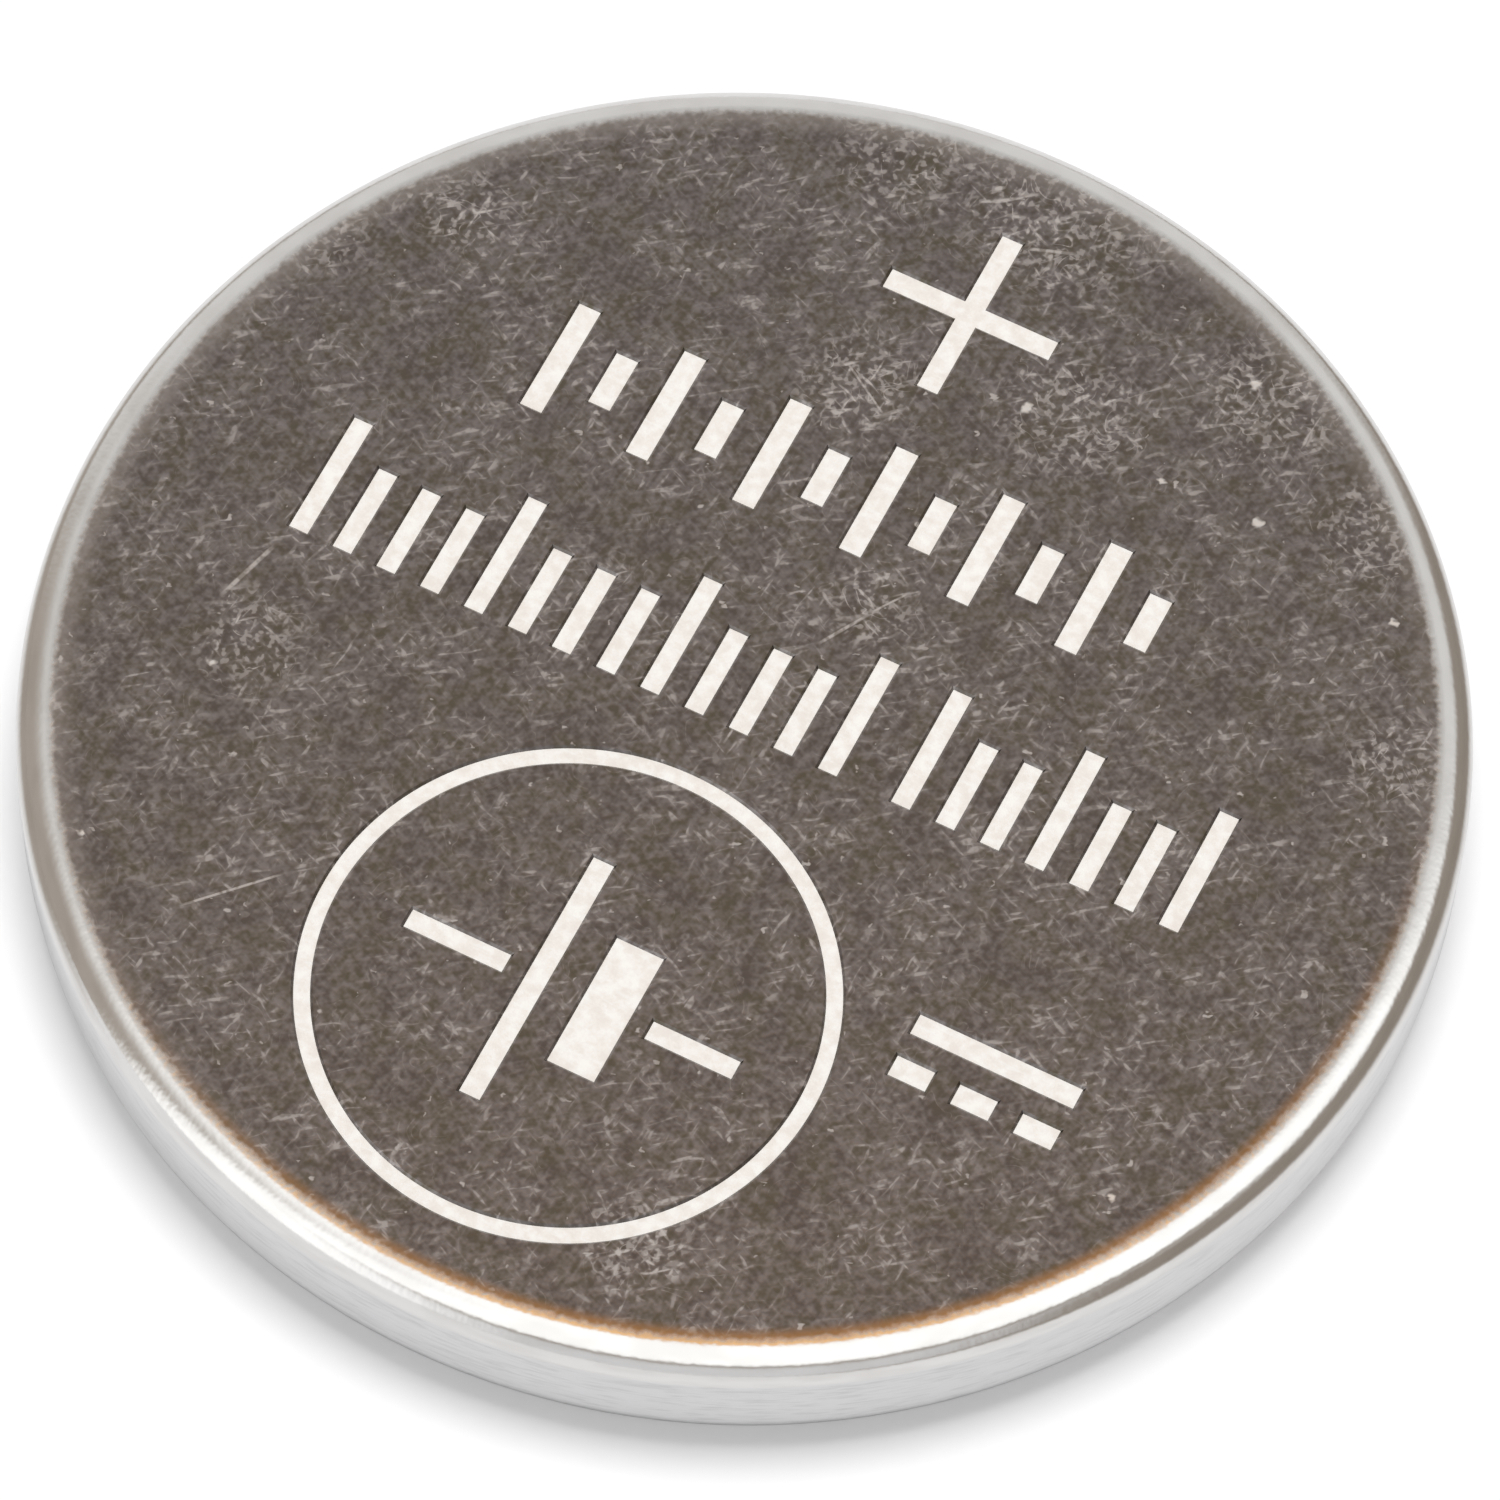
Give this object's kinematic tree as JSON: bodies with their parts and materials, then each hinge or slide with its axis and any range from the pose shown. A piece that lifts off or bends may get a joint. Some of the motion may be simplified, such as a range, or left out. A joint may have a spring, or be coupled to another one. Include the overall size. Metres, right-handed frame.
{
  "type": "lithium coin cell",
  "caption": "Flat round sealed cell: a crimped steel can with the positive face on top, over a smaller stepped negative cap with a thin plastic seal between them.",
  "frame": {"origin": "centre of the negative face, which the cell rests on", "axes": "+Z along the cell's axis, out of the positive face. The marks on the positive face run along +X, and the polarity sign lies towards +Y."},
  "size_m": [0.016, 0.016, 0.002],
  "materials": {
    "can_steel": "nickel-plated steel, dull warm grey with fine flecks and scuffs on the face, brighter on the rim and the wall",
    "cap_steel": "nickel-plated steel, satin",
    "gasket_polypropylene": "milky polypropylene, matt",
    "cathode_powder": "pressed powder, matt black",
    "collector_mesh": "expanded stainless steel, bare",
    "separator_sheet": "non-woven polypropylene, off-white",
    "lithium_metal": "soft metal foil, dull silver"
  },
  "bodies": {
    "root": {"positive_can": "can_steel", "negative_cap": "cap_steel", "sealing_gasket": "gasket_polypropylene", "cathode_pellet": "cathode_powder", "cathode_collector": "collector_mesh", "separator": "separator_sheet", "lithium_anode": "lithium_metal"}
  },
  "joints": []
}
